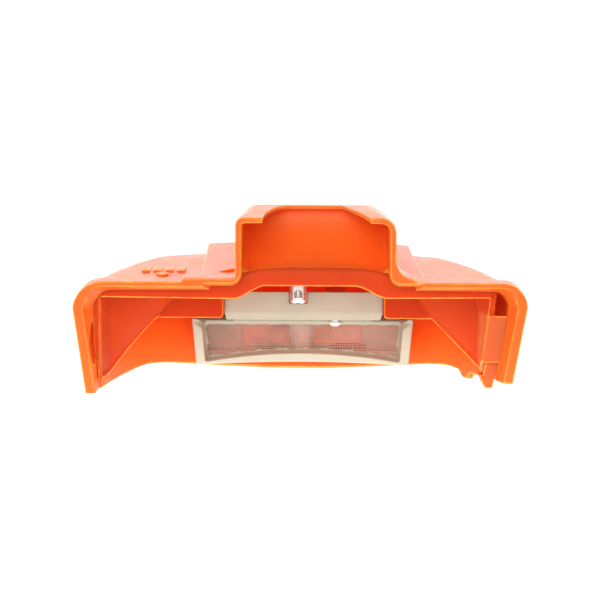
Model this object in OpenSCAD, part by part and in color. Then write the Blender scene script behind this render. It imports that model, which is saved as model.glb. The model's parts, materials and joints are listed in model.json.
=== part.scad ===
// Air filter housing of a small engine: a moulded cover with a quarter-turn lock
// and a slide-in mesh filter cassette.
// X runs along the width, Y away from the open front, Z up. The cover stands on Z = 0.

/* [Cover] */
// Width of the cover at its front rim
cover_w = 140.8; // [138:0.2:144]
// Depth from the front rim to the back
cover_d = 72; // [71:0.5:74]
// Height of the roof at the front rim
roof_h = 34.3; // [34:0.1:35]
// Slope of the roof, rising towards the back, in degrees
roof_slope = 7; // [6:0.5:7.5]
// Thickness of the moulded walls
wall = 2.2; // [1.8:0.1:2.4]
// Inward lean of each side wall, from shoulder to foot
side_lean = 4.4; // [3.5:0.1:5]
// Rise of the arched bottom edge
foot_arch = 3; // [1:0.5:4]

/* [Hump] */
// Left side of the hump
hump_left = -20.2; // [-21:0.1:-19]
// Right side of the hump
hump_right = 29.7; // [29:0.1:31]
// Height of the hump at the front rim
hump_h = 54.4; // [54:0.1:55]
// Highest point of the hump
hump_peak = 57.3; // [57:0.1:58]

/* [Inner baffle] */
// Thickness of the bulkhead, guide walls and tabs
baffle_t = 2; // [1.6:0.1:2.2]
// Depth of the bulkhead's front face behind the rim
bulkhead_y = 7; // [6:0.5:8]
// Depth of the hanging tabs behind the rim
tab_y = 40; // [39.5:0.1:40]

/* [Filter cassette] */
// Depth of the cassette's front face behind the rim
filter_y = 43; // [43:0.1:43.4]
// Height of the lower edge of the cassette at its ends
filter_foot = 4; // [3.8:0.1:4.2]
// Height of the window frame's top edge
filter_top = 19.5; // [19:0.1:19.6]
// Height of the upper panel's top edge
panel_top = 27.8; // [27:0.1:27.9]
// Thickness of the upper panel
panel_t = 1.8; // [1.4:0.1:1.8]
// Radius of the outlet ring's bore
outlet_r = 5.5; // [5:0.1:5.6]

/* [Lock] */
// Distance of the lock axis from the middle of the cover
lock_x = -0.6; // [-0.8:0.1:0]
// Depth of the lock axis behind the rim
lock_y = 38; // [37.8:0.1:38]
// Radius of the stud
stud_r = 2.85; // [2.8:0.05:2.9]
// Height of the stud's lower end
stud_end = 24.8; // [24.6:0.1:25]
// Running clearance of the stud in its bush
stud_gap = 0.08; // [0.05:0.01:0.1]
// Radius of the knob
knob_r = 8.8; // [8.4:0.1:8.8]

/* [Hidden] */
$fn = 48;

half_w = cover_w / 2;
side_y = 38;            // where the sides end and the back curve begins
lip_h = 0.8;            // how far the front rim stands proud
lip_y = 6;              // depth of the raised rim
slack = 0.1;            // gap between parts that meet face to face
skin = 0.02;            // thickness of the slices that a hull spans

recess_r = 9.5;         // the lock's recess in the hump
recess_floor = 42;
floor_t = 2;
boss_bottom = 37;
boss_r = 6.4;
bush_r = 4.2;
bush_flange_r = 5.6;
bush_flange_t = 0.8;
seat_t = 0.5;
spring_r = 6.2;
spring_wire = 0.8;
spring_low = recess_floor + bush_flange_t + seat_t;
spring_high = 50;
washer_t = 0.6;
knob_low = spring_high + washer_t + slack;
knob_high = 55.4;
stud_top = 52.8;
pin_z = 51.8;
pin_r = 0.7;
pin_length = 13;
clip_z = 35.9;
clip_t = 0.8;
groove_r = 2.2;

frame_depth = 7;        // depth of the cassette's front half
split_y = filter_y + frame_depth;
gasket_t = 0.8;
weld_r = 0.5;
mesh_t = 0.6;
mesh_y = filter_y + 5.2;
rear_low = filter_foot + 2.4;
rear_y = 60;            // back of the cassette's side parts
bulge_y = 64.4;         // back of its middle part
outlet_x = 16;
outlet_y = 57.1;
outlet_neck_r = 6.2;    // the ring's neck, and its seat in the frame
frame_left = -35.6;
frame_right = 37.2;
frame_draft = 1.8;      // how much narrower the cassette's foot is, on each side
window = [-31, 33.2];
window_z = [8, 18];
peg_x = 11.6;
peg_y = filter_y + 2.9;
post_y = split_y + 4.6;

// Depths below are counted from the front rim.
module from_front() translate([0, -cover_d / 2, 0]) children();

// Plan of the cover: straight front, sides that draw in by side_in(y), and an elliptical back.
function side_in(y) = 0.12 * y + 0.003 * y * y;
function side_line(half, mirrored, ys) = [for (y = ys) [mirrored * (half - side_in(y)), y]];
function back_arc(w, d) = [for (i = [0:32]) let (a = i * 180 / 32) [w * cos(a), side_y + d * sin(a)]];
module cover_plan(inset, depth) {
    front = half_w - inset;
    polygon(concat([[-front, -0.5], [front, -0.5]],
                   side_line(front, 1, [0:6:side_y - 2]),
                   back_arc(front - side_in(side_y), depth - side_y),
                   side_line(front, -1, [side_y - 2:-6:0])));
}

module plan_slice(z, inset, back_inset, slope)
    translate([0, 0, z]) rotate([slope, 0, 0]) linear_extrude(skin)
        cover_plan(inset, (cover_d - back_inset) / cos(slope));

// Rounded body of the cover: drawn in by an inset at the sides and top, and by back_in behind.
module cover_body(inset, back_in, low)
    hull() {
        plan_slice(low, side_lean + inset, 0.8 + back_in, 0);
        plan_slice(26.3, inset, back_in, roof_slope - 2);
        plan_slice(30.6 - inset, 1.6 + inset, 1.2 + back_in, roof_slope - 1);
        plan_slice(33.2 - inset, 4.6 + inset, 4 + back_in, roof_slope);
        plan_slice(roof_h - inset - skin, 8 + inset, 9 + back_in, roof_slope);
    }

// Rounded rectangle from the front rim to depth y1, drawn in by an inset.
module hump_slice(z, inset, y1, r)
    translate([0, 0, z]) linear_extrude(skin)
        polygon(concat([[hump_left + inset, -1], [hump_right - inset, -1]],
            [for (i = [0:6]) let (a = i * 15) [hump_right - inset - r + r * cos(a), y1 - r + r * sin(a)]],
            [for (i = [6:12]) let (a = i * 15) [hump_left + inset + r + r * cos(a), y1 - r + r * sin(a)]]));

module hump_body(inset)
    hull() {
        hump_slice(30, inset, 62 - inset, 12);
        hump_slice(49 - inset, inset, 57 - inset, 10);
        hump_slice(53 - inset, 1.6 + inset, 54 - inset, 8);
        translate([hump_left + 6 + inset, -1, hump_h - 0.2 - inset])
            cube([hump_right - hump_left - 12 - 2 * inset, 1, skin]);
        translate([hump_left + 6 + inset, 24, hump_peak - skin - inset])
            cube([hump_right - hump_left - 12 - 2 * inset, 2, skin]);
        translate([hump_left + 7 + inset, 46, 55.2 - inset])
            cube([hump_right - hump_left - 14 - 2 * inset, 1, skin]);
    }

// Raised plateau on the roof beside the hump.
plateau_h = 1.1;
module plateau()
    intersection() {
        translate([0, 0, plateau_h]) cover_body(lip_h, 0, 0);
        translate([0, 0, 30]) linear_extrude(20)
            polygon([[-36.3, 0], [38, 0], [37, 30], [33, 66], [-30, 66], [-31, 30]]);
    }

// Floor and back wall of the scoop in the front of the hump.
scoop_c = [20.5, 48.8];
function scoop_arc(r, a0, a1) =
    [for (i = [0:8]) let (a = a0 + (a1 - a0) * i / 8) [scoop_c[0] + r * cos(a), scoop_c[1] + r * sin(a)]];
module scoop_sheet()
    translate([hump_left, 0, 0]) rotate([90, 0, 90]) linear_extrude(hump_right - hump_left)
        polygon(concat([[bulkhead_y, 38.4]], scoop_arc(6, -75, 0), [[26.5, 60], [28.5, 60]],
                       scoop_arc(8, 0, -75), [[bulkhead_y, 36.4]]));

// Arched finger notch in the top of the hump.
module top_notch()
    translate([4.65, -1, 45]) linear_extrude(20)
        polygon([for (i = [0:24]) let (a = i * 180 / 24) [16.3 * cos(a), 23 * pow(sin(a), 0.8)]]);

module cover_shell()
    color([0.96, 0.4, 0.12]) from_front() difference() {
        union() {
            difference() {
                union() {
                    cover_body(lip_h, 0, 0);
                    intersection() {
                        cover_body(0, 0, 0);
                        translate([-100, 0, 0]) cube([200, lip_y, 60]);
                    }
                    plateau();
                    hump_body(0);
                }
                cover_body(lip_h + wall, wall, -2);
                difference() {
                    hump_body(wall);
                    scoop_sheet();
                    translate([lock_x, lock_y, recess_floor - floor_t]) cylinder(r = recess_r + 2, h = 30);
                }
            }
            translate([lock_x, lock_y, boss_bottom])
                cylinder(r = boss_r, h = recess_floor - boss_bottom - 0.5);
        }
        translate([-100, -10, -5]) cube([200, 10, 80]);
        translate([-100, -1, -10]) cube([200, 90, 10]);
        top_notch();
        translate([lock_x, lock_y, recess_floor]) cylinder(r = recess_r, h = 30);
        translate([lock_x, lock_y, 30]) cylinder(r = bush_r, h = 20);
        foot_cut();
        corner_cuts();
    }

// Underside of the side walls: a long shallow arch between the rim and the back.
module foot_cut() {
    half_chord = 31;
    r = (half_chord * half_chord + foot_arch * foot_arch) / (2 * foot_arch);
    translate([-100, 36, foot_arch - r]) rotate([0, 90, 0]) cylinder(r = r, h = 200, $fn = 240);
}

// Notches at the foot of the right front corner.
module corner_cuts() {
    translate([62, -1, -1]) cube([20, 6, 4.6]);
    translate([40, 12, 0]) rotate([0, 90, 0]) cylinder(r = 1.6, h = 40);
}

// Inner baffle: bulkhead, right-hand leg, diagonal guide walls and hanging tabs.
roof_in = roof_h - wall - lip_h - 0.3;
function roof_under(y) = roof_in + y * tan(roof_slope);
module bulkhead()
    translate([0, bulkhead_y + baffle_t, 0]) rotate([90, 0, 0]) linear_extrude(baffle_t)
        polygon([[-61.8, 1.6], [-64.8, 26], [-64.2, 28.4], [-61.2, 30.8], [-58, roof_under(bulkhead_y)],
                 [-17.8, roof_under(bulkhead_y)], [-17.8, 36.3], [27.3, 36.3],
                 [27.3, roof_under(bulkhead_y)], [60.4, roof_under(bulkhead_y)], [60.4, 24],
                 [64.6, 24], [63, 9], [57.4, 9], [59.7, 29], [26.6, 28.4], [23.6, 29.6], [20.9, 31.4],
                 [17.8, 32.5], [-12, 32.8], [-16.9, 29.9], [-20.6, 28.5], [-62.8, 29.4], [-60.2, 1.6]]);

// Wall hanging from the roof, from depth y0 to y1, with its lower edge rising from z0 to z1.
module guide_wall(x0, y0, z0, x1, y1, z1) {
    run = norm([x1 - x0, y1 - y0]);
    translate([x0, y0, 0]) rotate([0, 0, atan2(y1 - y0, x1 - x0)]) rotate([90, 0, 0])
        translate([0, 0, -baffle_t / 2]) linear_extrude(baffle_t)
            polygon([[0, z0], [run, z1], [run, roof_under(y1) - 0.5], [0, roof_under(y0) - 0.5]]);
}

// Tab hanging from the roof, with one rounded lower corner at x_round.
tab_low = 20;
tab_r = 1.2;
module tab(x_square, x_round) {
    side = x_round > x_square ? 1 : -1;
    translate([0, tab_y + baffle_t, 0]) rotate([90, 0, 0]) linear_extrude(baffle_t)
        polygon(concat([[x_square, roof_under(tab_y) - 1], [x_square, tab_low]],
            [for (a = [0:22.5:90]) [x_round - side * tab_r * (1 - sin(a)), tab_low + tab_r * (1 - cos(a))]],
            [[x_round, roof_under(tab_y) - 1]]));
}

module inner_baffle()
    color([0.88, 0.27, 0.1]) from_front() union() {
        bulkhead();
        guide_wall(-62, bulkhead_y + 1, 6, -46.4, tab_y + 1, tab_low + 0.4);
        guide_wall(58.9, bulkhead_y + 1, 6, 43.5, tab_y + 1, tab_low + 0.4);
        tab(-46.6, -25.2);
        tab(43.8, 27.6);
    }

// The lock's fixed parts.
module at_lock(z) from_front() translate([lock_x, lock_y, z]) children();

module lock_bush()
    color([0.2, 0.2, 0.2]) at_lock(0) difference() {
        union() {
            translate([0, 0, boss_bottom]) cylinder(r = bush_r, h = recess_floor - boss_bottom + 0.1);
            translate([0, 0, recess_floor]) cylinder(r = bush_flange_r, h = bush_flange_t);
        }
        translate([0, 0, boss_bottom - 1]) cylinder(r = stud_r + stud_gap, h = 20);
        translate([0, 0, recess_floor - 0.6]) cylinder(r = 3.9, h = 5);
    }

module lock_seal()
    color([0.1, 0.1, 0.1]) at_lock(recess_floor - 0.18)
        rotate_extrude() translate([3.52, 0]) circle(r = 0.36, $fn = 20);

module spring_seat()
    color([0.75, 0.75, 0.75]) at_lock(recess_floor + bush_flange_t) difference() {
        cylinder(r = 8, h = seat_t);
        translate([0, 0, -1]) cylinder(r = 4.6, h = 3);
    }

// Open coil: a wire swept along a helix, as one closed surface.
spring_turns = 3.5;
wire_sides = 8;
turn_steps = 20;
spring_rings = spring_turns * turn_steps;
spring_rise = spring_high - spring_low - spring_wire - 0.1;
function coil_point(i, j) =
    let (a = i * 360 / turn_steps, b = j * 360 / wire_sides, w = spring_wire / 2,
         r = spring_r + w * cos(b))
    [r * cos(a), r * sin(a), spring_low + w + 0.05 + spring_rise * i / spring_rings + w * sin(b)];
module lock_spring()
    color([0.7, 0.7, 0.72]) at_lock(0) polyhedron(
        points = [for (i = [0:spring_rings]) for (j = [0:wire_sides - 1]) coil_point(i, j)],
        faces = concat(
            [[for (j = [0:wire_sides - 1]) j]],
            [for (i = [0:spring_rings - 1]) for (j = [0:wire_sides - 1])
                let (a = i * wire_sides, n = (j + 1) % wire_sides)
                [a + j, a + wire_sides + j, a + wire_sides + n, a + n]],
            [[for (j = [wire_sides - 1:-1:0]) spring_rings * wire_sides + j]]));

// The lock's moving parts.
module cross_hole()
    translate([0, 0, pin_z]) rotate([90, 0, 0]) cylinder(r = pin_r, h = pin_length, center = true, $fn = 24);

module lock_washer()
    color([0.78, 0.78, 0.78]) at_lock(spring_high) difference() {
        cylinder(r = 7.4, h = washer_t);
        translate([0, 0, -1]) cylinder(r = stud_r + 0.4, h = 3);
    }

module lock_knob()
    color([0.15, 0.15, 0.15]) at_lock(0) difference() {
        translate([0, 0, knob_low]) cylinder(r = knob_r, h = knob_high - knob_low);
        translate([0, 0, knob_low - 1]) cylinder(r = stud_r, h = stud_top - knob_low + 1);
        cross_hole();
        translate([-7, -1.4, knob_high - 2.4]) cube([14, 2.8, 5]);
        for (i = [0:11]) rotate([0, 0, i * 30 + 15])
            translate([knob_r + 0.3, 0, knob_low - 1]) cylinder(r = 0.9, h = 10, $fn = 24);
    }

module lock_stud()
    color([0.78, 0.78, 0.78]) at_lock(0) difference() {
        translate([0, 0, stud_end]) cylinder(r = stud_r, h = stud_top - stud_end);
        translate([0, 0, stud_end - 1]) cylinder(r = 1.9, h = 6);
        translate([-1.3, -5, stud_end + 1.4]) cube([2.6, 5, 3]);
        translate([0, 0, clip_z]) difference() {
            cylinder(r = stud_r + 1, h = clip_t);
            cylinder(r = groove_r, h = clip_t);
        }
        cross_hole();
    }

module lock_cross_pin()
    color([0.7, 0.7, 0.7]) at_lock(pin_z) rotate([90, 0, 0])
        cylinder(r = pin_r, h = pin_length - slack, center = true, $fn = 24);

module lock_retainer()
    color([0.6, 0.6, 0.62]) at_lock(clip_z) difference() {
        cylinder(r = 4.8, h = clip_t);
        translate([0, 0, -1]) cylinder(r = groove_r, h = 3);
        translate([-1.6, 0, -1]) cube([3.2, 6, 3]);
    }

// Filter cassette.
function frame_x(side, z) = side + (side < 0 ? 1 : -1) * frame_draft * (filter_top - z) / filter_top;
module frame_outline(inset, top)
    polygon([[frame_x(frame_left, 0) + inset, filter_foot + inset],
             [frame_x(frame_right, 0) - inset, filter_foot + inset],
             [frame_right - inset, top - inset], [frame_left + inset, top - inset]]);

// A flat shape drawn in X and Z, standing at depth y.
module upright(y, t) translate([0, y + t, 0]) rotate([90, 0, 0]) linear_extrude(t) children();

module window_shape(grow)
    polygon([[window[0] - grow, window_z[0] - grow], [window[1] + grow, window_z[0] - grow],
             [window[1] + grow, window_z[1] + grow], [window[0] - grow, window_z[1] + grow]]);

// The low arch under the cassette.
module cassette_arch() {
    rise = 1.2;
    half_chord = 34;
    r = (half_chord * half_chord + rise * rise) / (2 * rise);
    translate([0.8, filter_y - 1, filter_foot + rise - r]) rotate([-90, 0, 0])
        cylinder(r = r, h = 40, $fn = 256);
}

module weld_pins(r)
    for (x = [frame_left + 2.7, frame_right - 2.4], z = [filter_foot + 5, filter_top - 3])
        translate([x, split_y - 3, z]) rotate([-90, 0, 0]) cylinder(r = r, h = 6.8, $fn = 24);

module filter_frame_front()
    color([0.9, 0.83, 0.72]) from_front() difference() {
        union() {
            upright(filter_y, frame_depth) frame_outline(0, filter_top);
            upright(filter_y, panel_t) polygon([[-24.8, filter_top - 1], [27.2, filter_top - 1],
                                               [27.2, panel_top], [-24.8, panel_top]]);
            upright(filter_y, frame_depth) polygon([[-22, filter_top - 1], [24, filter_top - 1],
                                                   [24, 21.5], [-22, 21.5]]);
        }
        upright(filter_y - 1, frame_depth + 2) window_shape(0);
        upright(mesh_y, mesh_t) window_shape(1);
        translate([lock_x - 3.2, filter_y - 1, stud_end - 0.6]) cube([6.4, 8, 10]);
        translate([peg_x, peg_y, 10]) cylinder(r = 1.4, h = 11.5);
        cassette_arch();
        weld_pins(weld_r);
    }

// Middle part of the rear half reaches further back, over the outlet.
module rear_plan(inset)
    polygon([[-34.2 + inset, split_y], [35.8 - inset, split_y], [35.8 - inset, 55.5],
             [31.5 - inset, rear_y - inset], [25 - inset, rear_y - inset], [23 - inset, bulge_y - inset],
             [-21 + inset, bulge_y - inset], [-23 + inset, rear_y - inset], [-30 + inset, rear_y - inset],
             [-34.2 + inset, 55.5]]);

module filter_frame_rear()
    color([0.88, 0.81, 0.7]) from_front() difference() {
        translate([0, 0, rear_low]) linear_extrude(filter_top - rear_low) rear_plan(0);
        translate([0, 0, rear_low + 2]) linear_extrude(filter_top - rear_low - 3.8) rear_plan(1.8);
        translate([-60, split_y - 5, 0]) cube([120, 5 + gasket_t, 40]);
        upright(bulge_y - 6, 10) polygon([[-19, 9.4], [21, 9.4], [21, 17], [-19, 17]]);
        upright(bulge_y - 1, mesh_t) polygon([[-20, 8.4], [22, 8.4], [22, 17.6], [-20, 17.6]]);
        translate([outlet_x, outlet_y, 0]) cylinder(r = outlet_neck_r, h = rear_low + 5);
        weld_pins(weld_r);
    }

module filter_gasket()
    color([0.2, 0.2, 0.2]) from_front() difference() {
        upright(split_y, gasket_t) polygon([[-34, rear_low + 0.2], [35.6, rear_low + 0.2],
                                           [35.6, filter_top - 0.4], [-34, filter_top - 0.4]]);
        upright(split_y - 1, gasket_t + 2) window_shape(0);
        weld_pins(weld_r);
    }

module filter_weld_pins()
    color([0.9, 0.85, 0.75]) from_front() weld_pins(weld_r);

module filter_mesh_front()
    color([0.8, 0.55, 0.46]) from_front() upright(mesh_y, mesh_t) window_shape(1);

module filter_mesh_rear()
    color([0.8, 0.6, 0.5]) from_front() upright(bulge_y - 1, mesh_t)
        polygon([[-20, 8.4], [22, 8.4], [22, 17.6], [-20, 17.6]]);

module filter_post()
    color([0.75, 0.62, 0.55]) from_front() translate([0.3, post_y, rear_low + 2]) union() {
        cylinder(r = 3.5, h = filter_top - rear_low - 3.8);
        translate([0, 0, 5.2]) cylinder(r = 4.3, h = 3.8);
    }

module filter_peg()
    color([0.95, 0.95, 0.93]) from_front() translate([peg_x, peg_y, 0]) union() {
        translate([0, 0, 17]) cylinder(r = 2.15, h = 1);
        translate([0, 0, 18]) cylinder(r = 1.4, h = 3.4);
    }

module filter_outlet_ring()
    color([0.12, 0.12, 0.12]) from_front() translate([outlet_x, outlet_y, 0]) difference() {
        union() {
            translate([0, 0, rear_low - 1.8]) cylinder(r = 6.9, h = 1.8);
            translate([0, 0, rear_low]) cylinder(r = outlet_neck_r, h = 3);
        }
        cylinder(r = outlet_r, h = 12);
    }

cover_shell();
inner_baffle();
lock_bush();
lock_seal();
spring_seat();
lock_spring();
lock_washer();
lock_knob();
lock_stud();
lock_cross_pin();
lock_retainer();
filter_frame_front();
filter_frame_rear();
filter_gasket();
filter_weld_pins();
filter_mesh_front();
filter_mesh_rear();
filter_post();
filter_peg();
filter_outlet_ring();
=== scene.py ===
"""Air filter housing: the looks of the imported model.

The moulded pieces are written as fields: functions of a point that are negative inside the piece.
A field's edges and inner corners are rounded as a mould rounds them, and skin() turns it into a mesh.
Fields are drawn in millimetres: x to the right, t the depth behind the cover's front rim, and z up.
"""

import json
import math

import bpy
import numpy as np
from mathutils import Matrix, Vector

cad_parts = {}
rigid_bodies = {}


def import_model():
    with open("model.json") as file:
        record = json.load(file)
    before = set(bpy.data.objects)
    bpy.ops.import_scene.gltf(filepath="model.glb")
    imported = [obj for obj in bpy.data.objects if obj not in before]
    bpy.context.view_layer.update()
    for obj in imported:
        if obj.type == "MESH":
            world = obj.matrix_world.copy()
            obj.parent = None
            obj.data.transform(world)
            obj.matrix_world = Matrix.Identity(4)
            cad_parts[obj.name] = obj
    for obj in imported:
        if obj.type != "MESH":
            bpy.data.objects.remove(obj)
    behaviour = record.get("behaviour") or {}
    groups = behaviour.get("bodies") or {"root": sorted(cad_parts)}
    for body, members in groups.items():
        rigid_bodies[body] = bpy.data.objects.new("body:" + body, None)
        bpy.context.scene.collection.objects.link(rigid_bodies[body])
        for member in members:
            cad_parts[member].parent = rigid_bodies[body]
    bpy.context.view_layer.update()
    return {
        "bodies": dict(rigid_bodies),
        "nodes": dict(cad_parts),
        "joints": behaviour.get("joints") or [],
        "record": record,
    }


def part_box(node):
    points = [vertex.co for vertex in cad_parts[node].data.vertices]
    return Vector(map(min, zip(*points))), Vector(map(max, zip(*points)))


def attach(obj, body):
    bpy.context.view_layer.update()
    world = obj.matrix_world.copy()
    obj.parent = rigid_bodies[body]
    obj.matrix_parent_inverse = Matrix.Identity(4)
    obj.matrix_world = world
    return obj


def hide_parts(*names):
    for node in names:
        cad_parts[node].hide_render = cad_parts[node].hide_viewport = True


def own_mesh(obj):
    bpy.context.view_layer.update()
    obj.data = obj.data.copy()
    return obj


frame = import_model()
nodes = frame["nodes"]

MM = 0.001
RIM_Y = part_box("cover_shell")[0][1] / MM  # the front rim's Y in the frame


# ---------------------------------------------------------------- camera, light and floor
EYE_DISTANCE = 700  # from the rim, mm
EYE_HEIGHT = 91.15
EYE_PITCH = 5.04  # degrees down
EYE_ROLL = 0.33
FOCAL = 2275 / 600  # in image widths
SENSOR = 36
WORLD_FRONT = 0.15
WORLD_BACK = 3.8
WORLD_TURN = (-0.3, 0.85)  # the direction's Y, between the front's light and the back's
WORLD_TOP = 0.3  # the share of it that is left overhead
WORLD_RISE = (0.35, 0.85)  # the direction's Z, between the level light and the overhead light
WORLD_SEEN = 1.1
KEY_POWER = 13  # watts
FILL_POWER = 0.1
FLOOR_HALF = 3  # metres
FLOOR_FRONT = 0.25  # the floor's own light, in front of the object
FLOOR_NEAR = 1.7  # and under it and behind it
FLOOR_TURN = (-0.14, -0.03)  # metres of Y, between the two
FLOOR_SEEN = 1.0


def make_camera():
    data = bpy.data.cameras.new("camera")
    data.sensor_width = SENSOR
    data.lens = FOCAL * SENSOR
    data.clip_start = 0.05
    data.clip_end = 20
    camera = bpy.data.objects.new("camera", data)
    camera.location = (0, (RIM_Y - EYE_DISTANCE) * MM, EYE_HEIGHT * MM)
    camera.rotation_mode = "ZYX"  # the roll turns the picture, and doesn't swing the view
    camera.rotation_euler = (math.radians(90 - EYE_PITCH), 0, math.radians(EYE_ROLL))
    bpy.context.scene.collection.objects.link(camera)
    bpy.context.scene.camera = camera


def area_light(name, place, aim, size, power):
    data = bpy.data.lights.new(name, "AREA")
    data.shape = "RECTANGLE"
    data.size, data.size_y = size
    data.energy = power
    lamp = bpy.data.objects.new(name, data)
    lamp.location = place
    direction = np.array(aim, float) - np.array(place, float)
    flat = math.hypot(direction[0], direction[1])
    turn = math.atan2(direction[1], direction[0]) - math.pi / 2
    lamp.rotation_euler = (math.atan2(flat, -direction[2]), 0, turn)
    bpy.context.scene.collection.objects.link(lamp)


def map_range(tree, source, low, high, start, end):
    """start where source is low, end where it is high, and smooth between."""
    node = tree.nodes.new("ShaderNodeMapRange")
    node.interpolation_type = "SMOOTHSTEP"
    for socket, value in zip(("From Min", "From Max", "To Min", "To Max"), (low, high, start, end)):
        node.inputs[socket].default_value = value
    tree.links.new(source, node.inputs["Value"])
    return node.outputs["Result"]


def seen_as(tree, light, plain):
    """The strength plain where the camera sees a surface, and light where it lights other things."""
    path = tree.nodes.new("ShaderNodeLightPath")
    blend = tree.nodes.new("ShaderNodeMix")
    tree.links.new(path.outputs["Is Camera Ray"], blend.inputs["Factor"])
    tree.links.new(light, blend.inputs["A"])
    blend.inputs["B"].default_value = plain
    return blend.outputs["Result"]


def make_world():
    """Plain white to the camera. Its light is strongest from behind, and weak in front and above."""
    world = bpy.data.worlds.new("studio")
    bpy.context.scene.world = world
    world.use_nodes = True
    tree = world.node_tree
    place = tree.nodes.new("ShaderNodeTexCoord")
    parts = tree.nodes.new("ShaderNodeSeparateXYZ")
    tree.links.new(place.outputs["Generated"], parts.inputs["Vector"])
    level = map_range(tree, parts.outputs["Y"], *WORLD_TURN, WORLD_FRONT, WORLD_BACK)
    share = map_range(tree, parts.outputs["Z"], *WORLD_RISE, 1, WORLD_TOP)
    light = tree.nodes.new("ShaderNodeMath")
    light.operation = "MULTIPLY"
    tree.links.new(level, light.inputs[0])
    tree.links.new(share, light.inputs[1])
    back = tree.nodes["Background"]
    back.inputs["Color"].default_value = (1, 1, 1, 1)
    tree.links.new(seen_as(tree, light.outputs["Value"], WORLD_SEEN), back.inputs["Strength"])


def make_light():
    make_world()
    area_light("key", place=(-0.15, -1.08, 0.4), aim=(0, 0, 0.03), size=(1.2, 0.7), power=KEY_POWER)
    area_light("fill", place=(0.7, -0.3, 0.6), aim=(0, 0, 0.02), size=(0.8, 0.8), power=FILL_POWER)
    scene = bpy.context.scene
    scene.view_settings.view_transform = "Standard"
    scene.view_settings.look = "None"
    scene.view_settings.exposure = 0
    scene.cycles.max_bounces = 12
    scene.cycles.diffuse_bounces = 6
    scene.cycles.use_denoising = True


def make_floor():
    """A pale floor. It looks evenly white, and lights the object from below and behind."""
    half = FLOOR_HALF
    corners = [(-half, -half, 0), (half, -half, 0), (half, half, 0), (-half, half, 0)]
    mesh = bpy.data.meshes.new("floor")
    mesh.from_pydata(corners, [], [(0, 1, 2, 3)])
    floor = bpy.data.objects.new("floor", mesh)
    bpy.context.scene.collection.objects.link(floor)
    material = bpy.data.materials.new("pale_floor")
    material.use_nodes = True
    tree = material.node_tree
    shader = tree.nodes["Principled BSDF"]
    shader.inputs["Base Color"].default_value = (0.25, 0.25, 0.25, 1)
    shader.inputs["Roughness"].default_value = 0.9
    shader.inputs["Specular IOR Level"].default_value = 0.0
    shader.inputs["Emission Color"].default_value = (1, 1, 1, 1)
    place = tree.nodes.new("ShaderNodeTexCoord")
    parts = tree.nodes.new("ShaderNodeSeparateXYZ")
    tree.links.new(place.outputs["Object"], parts.inputs["Vector"])
    light = map_range(tree, parts.outputs["Y"], *FLOOR_TURN, FLOOR_FRONT, FLOOR_NEAR)
    tree.links.new(seen_as(tree, light, FLOOR_SEEN), shader.inputs["Emission Strength"])
    mesh.materials.append(material)


# ---------------------------------------------------------------- fields
def both(a, b, r=0.0):
    """Where two fields meet, with the edge between them rounded to radius r."""
    if np.ndim(r) == 0 and r <= 0:
        return np.maximum(a, b)
    return np.minimum(-r, np.maximum(a, b)) + np.hypot(np.maximum(a + r, 0), np.maximum(b + r, 0))


def either(a, b, r=0.0):
    """Two fields joined, with a fillet of radius r in the inner corner."""
    return -both(-a, -b, r)


def without(a, b, r=0.0):
    return both(a, -b, r)


def ease(a, b, value):
    """0 below a, 1 above b, and smooth between."""
    s = np.clip((value - a) / (b - a), 0, 1)
    return s * s * (3 - 2 * s)


def lerp(a, b, share):
    return a + (b - a) * share


def upright_tube(x, t, cx, ct, r):
    return np.hypot(x - cx, t - ct) - r


# ---------------------------------------------------------------- skins
def surface_net(field, low, high, step):
    """Vertices and four-sided faces of the field's zero surface, a vertex in each cell that it crosses."""
    low = np.array(low, float)
    axes = [low[i] + step * np.arange(int(math.ceil((high[i] - low[i]) / step)) + 2) for i in range(3)]
    shape = tuple(len(a) for a in axes)
    value = np.empty(shape, np.float32)
    slab = 48
    for i in range(0, shape[0], slab):
        points = np.meshgrid(axes[0][i : i + slab], axes[1], axes[2], indexing="ij", sparse=True)
        value[i : i + slab] = field(*points)
    inside = value < 0
    cells = tuple(n - 1 for n in shape)
    count = np.zeros(cells, np.int8)
    corners = [(a, b, c) for a in (0, 1) for b in (0, 1) for c in (0, 1)]
    for a, b, c in corners:
        count += inside[a : a + cells[0], b : b + cells[1], c : c + cells[2]]
    active = (count > 0) & (count < 8)
    index = np.full(cells, -1, np.int64)
    index[active] = np.arange(active.sum())
    where = np.argwhere(active)
    place = np.zeros((len(where), 3))
    hits = np.zeros(len(where))
    for start in corners:
        for axis in range(3):
            if start[axis]:
                continue
            end = list(start)
            end[axis] = 1
            va = value[tuple((where + start).T)]
            vb = value[tuple((where + end).T)]
            crossed = (va < 0) != (vb < 0)
            share = np.where(crossed, va / np.where(crossed, va - vb, 1), 0)
            point = np.array(start) + share[:, None] * (np.array(end) - np.array(start))
            place += np.where(crossed[:, None], point, 0)
            hits += crossed
    verts = low + (where + place / hits[:, None]) * step
    faces = []
    for axis in range(3):
        u, v = (axis + 1) % 3, (axis + 2) % 3
        start = [slice(None)] * 3
        end = [slice(None)] * 3
        start[axis], end[axis] = slice(0, -1), slice(1, None)
        a, b = inside[tuple(start)], inside[tuple(end)]
        for flip, crossed in ((False, a & ~b), (True, ~a & b)):
            edge = np.argwhere(crossed)
            keep = (edge[:, u] > 0) & (edge[:, v] > 0)
            keep &= (edge[:, u] < cells[u]) & (edge[:, v] < cells[v])
            edge = edge[keep]
            ring = []
            for du, dv in ((0, 0), (1, 0), (1, 1), (0, 1)):
                cell = edge.copy()
                cell[:, u] -= du
                cell[:, v] -= dv
                ring.append(index[tuple(cell.T)])
            ring = np.stack(ring[::-1] if flip else ring, axis=1)
            faces.append(ring)
    return verts, np.concatenate(faces)


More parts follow.
